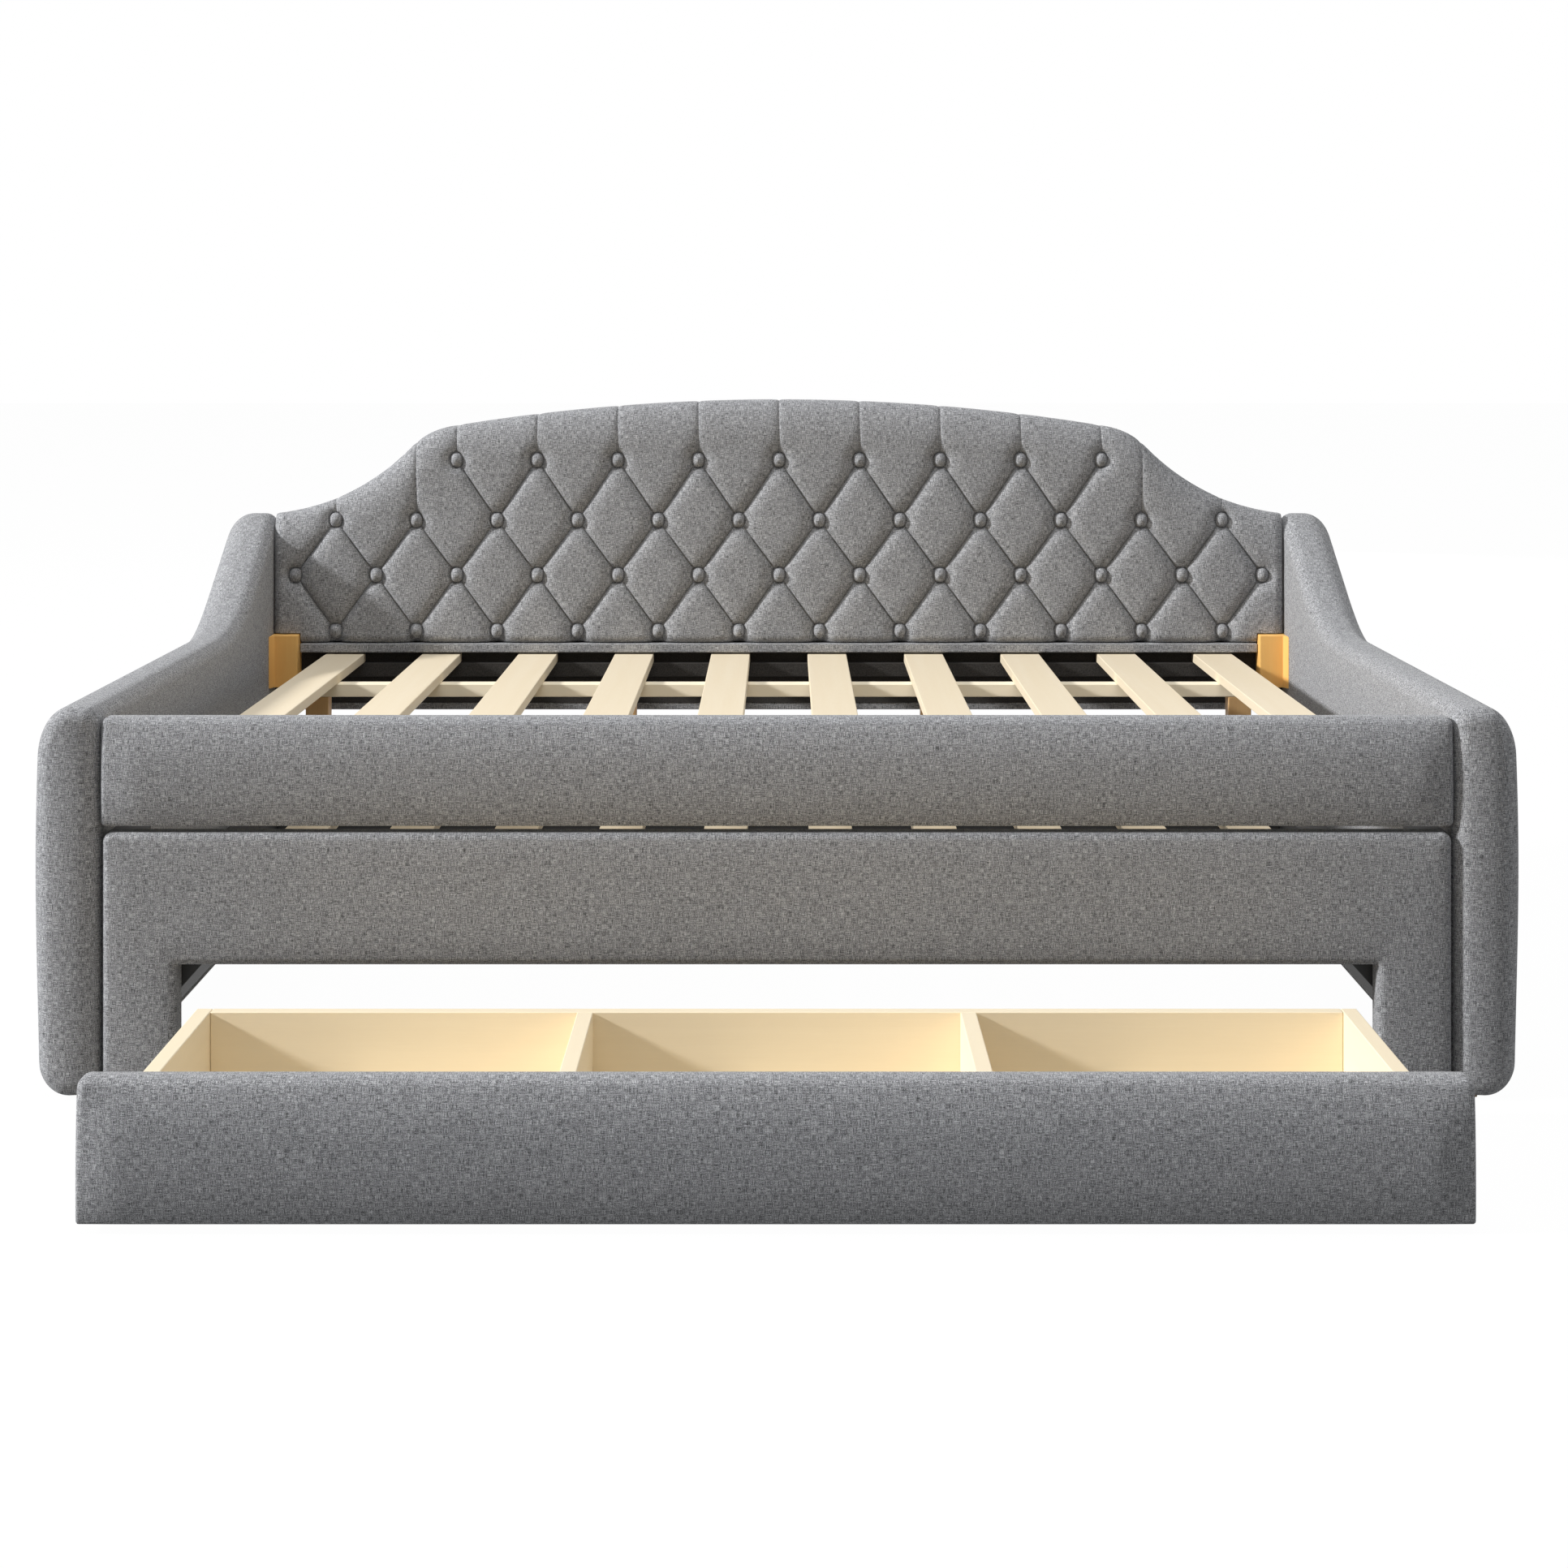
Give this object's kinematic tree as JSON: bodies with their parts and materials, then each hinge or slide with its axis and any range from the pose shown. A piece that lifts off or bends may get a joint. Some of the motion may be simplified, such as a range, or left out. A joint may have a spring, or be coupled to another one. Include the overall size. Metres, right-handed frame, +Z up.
{
  "type": "trundle bed",
  "caption": "Upholstered camel-back daybed with swoop arms, a button-tufted back and bare slats, a roll-out trundle with an arched front, and a wide rolling storage drawer.",
  "frame": {"origin": "bottom centre of the whole bed's box at rest, with the drawer standing out in front, on the floor", "axes": "+X to the right of someone facing the front, +Y towards the back, +Z up"},
  "size_m": [2.112, 2.128, 0.9643],
  "materials": {
    "upholstery": "mid-grey heathered linen weave over foam",
    "lining": "black non-woven dust cloth",
    "slat_wood": "bare pale poplar, lightly sanded",
    "core_wood": "unfinished plywood and pine",
    "block_wood": "orange-brown hardwood",
    "leg_wood": "brown bare wood",
    "drawer_wood": "clear-lacquered pale plywood",
    "black_paint": "satin black paint on wood",
    "caster_steel": "dark grey coated sheet",
    "caster_tread": "black nylon"
  },
  "bodies": {
    "daybed": {"left_arm_core": "core_wood", "left_arm_cover": "upholstery", "right_arm_core": "core_wood", "right_arm_cover": "upholstery", "back_board": "upholstery", "back_pad": "upholstery", "back_lining": "lining", "front_rail_board": "core_wood", "front_rail_cover": "upholstery", "front_ledger": "core_wood", "rear_ledger": "lining", "support_beam": "slat_wood", "beam_leg_1": "leg_wood", "beam_leg_2": "leg_wood", "beam_leg_3": "leg_wood", "beam_leg_4": "leg_wood", "slat_1": "slat_wood", "slat_2": "slat_wood", "slat_3": "slat_wood", "slat_4": "slat_wood", "slat_5": "slat_wood", "slat_6": "slat_wood", "slat_7": "slat_wood", "slat_8": "slat_wood", "slat_9": "slat_wood", "slat_10": "slat_wood", "left_corner_block": "block_wood", "right_corner_block": "block_wood"},
    "trundle": {"trundle_front_board": "black_paint", "trundle_front_cover": "upholstery", "trundle_left_side": "black_paint", "trundle_right_side": "black_paint", "trundle_back_board": "black_paint", "trundle_slat_roll": "slat_wood", "left_gusset": "black_paint", "right_gusset": "black_paint", "trundle_front_left_fork": "caster_steel", "trundle_front_right_fork": "caster_steel", "trundle_rear_left_fork": "caster_steel", "trundle_rear_right_fork": "caster_steel"},
    "drawer": {"drawer_front_board": "drawer_wood", "drawer_front_cover": "upholstery", "drawer_left_side": "drawer_wood", "drawer_right_side": "drawer_wood", "drawer_back": "drawer_wood", "drawer_bottom": "drawer_wood", "drawer_divider_1": "drawer_wood", "drawer_divider_2": "drawer_wood", "drawer_front_left_fork": "caster_steel", "drawer_front_right_fork": "caster_steel", "drawer_rear_left_fork": "caster_steel", "drawer_rear_right_fork": "caster_steel"},
    "trundle_front_left_wheel": {"trundle_front_left_wheel": "caster_tread"},
    "trundle_front_right_wheel": {"trundle_front_right_wheel": "caster_tread"},
    "trundle_rear_left_wheel": {"trundle_rear_left_wheel": "caster_tread"},
    "trundle_rear_right_wheel": {"trundle_rear_right_wheel": "caster_tread"},
    "drawer_front_left_wheel": {"drawer_front_left_wheel": "caster_tread"},
    "drawer_front_right_wheel": {"drawer_front_right_wheel": "caster_tread"},
    "drawer_rear_left_wheel": {"drawer_rear_left_wheel": "caster_tread"},
    "drawer_rear_right_wheel": {"drawer_rear_right_wheel": "caster_tread"}
  },
  "joints": [
    {"name": "trundle_slide", "type": "slide", "parent": "daybed", "child": "trundle", "axis": [0, -1, 0], "range_m": [0, 1.07]},
    {"name": "drawer_slide", "type": "slide", "parent": "trundle", "child": "drawer", "axis": [0, -1, 0], "range_m": [-0.621, 0.2]},
    {"name": "trundle_front_left_roll", "type": "hinge", "parent": "trundle", "child": "trundle_front_left_wheel", "pos_m": [-0.939, -0.34, 0.025], "axis": [1, 0, 0], "range_deg": [0, 2460]},
    {"name": "trundle_front_right_roll", "type": "hinge", "parent": "trundle", "child": "trundle_front_right_wheel", "pos_m": [0.939, -0.34, 0.025], "axis": [1, 0, 0], "range_deg": [0, 2460]},
    {"name": "trundle_rear_left_roll", "type": "hinge", "parent": "trundle", "child": "trundle_rear_left_wheel", "pos_m": [-0.939, 0.564, 0.025], "axis": [1, 0, 0], "range_deg": [0, 2460]},
    {"name": "trundle_rear_right_roll", "type": "hinge", "parent": "trundle", "child": "trundle_rear_right_wheel", "pos_m": [0.939, 0.564, 0.025], "axis": [1, 0, 0], "range_deg": [0, 2460]},
    {"name": "drawer_front_left_roll", "type": "hinge", "parent": "drawer", "child": "drawer_front_left_wheel", "pos_m": [-0.719, -0.9287, 0.019], "axis": [1, 0, 0], "range_deg": [-1880, 610]},
    {"name": "drawer_front_right_roll", "type": "hinge", "parent": "drawer", "child": "drawer_front_right_wheel", "pos_m": [0.719, -0.9287, 0.019], "axis": [1, 0, 0], "range_deg": [-1880, 610]},
    {"name": "drawer_rear_left_roll", "type": "hinge", "parent": "drawer", "child": "drawer_rear_left_wheel", "pos_m": [-0.719, -0.673, 0.019], "axis": [1, 0, 0], "range_deg": [-1880, 610]},
    {"name": "drawer_rear_right_roll", "type": "hinge", "parent": "drawer", "child": "drawer_rear_right_wheel", "pos_m": [0.719, -0.673, 0.019], "axis": [1, 0, 0], "range_deg": [-1880, 610]}
  ],
  "couplings": [
    {"joint": "trundle_front_left_roll", "follows": "trundle_slide", "rad_per_m": 40},
    {"joint": "trundle_front_right_roll", "follows": "trundle_slide", "rad_per_m": 40},
    {"joint": "trundle_rear_left_roll", "follows": "trundle_slide", "rad_per_m": 40},
    {"joint": "trundle_rear_right_roll", "follows": "trundle_slide", "rad_per_m": 40},
    {"joint": "drawer_front_left_roll", "follows": "drawer_slide", "rad_per_m": 52.632},
    {"joint": "drawer_front_right_roll", "follows": "drawer_slide", "rad_per_m": 52.632},
    {"joint": "drawer_rear_left_roll", "follows": "drawer_slide", "rad_per_m": 52.632},
    {"joint": "drawer_rear_right_roll", "follows": "drawer_slide", "rad_per_m": 52.632}
  ]
}
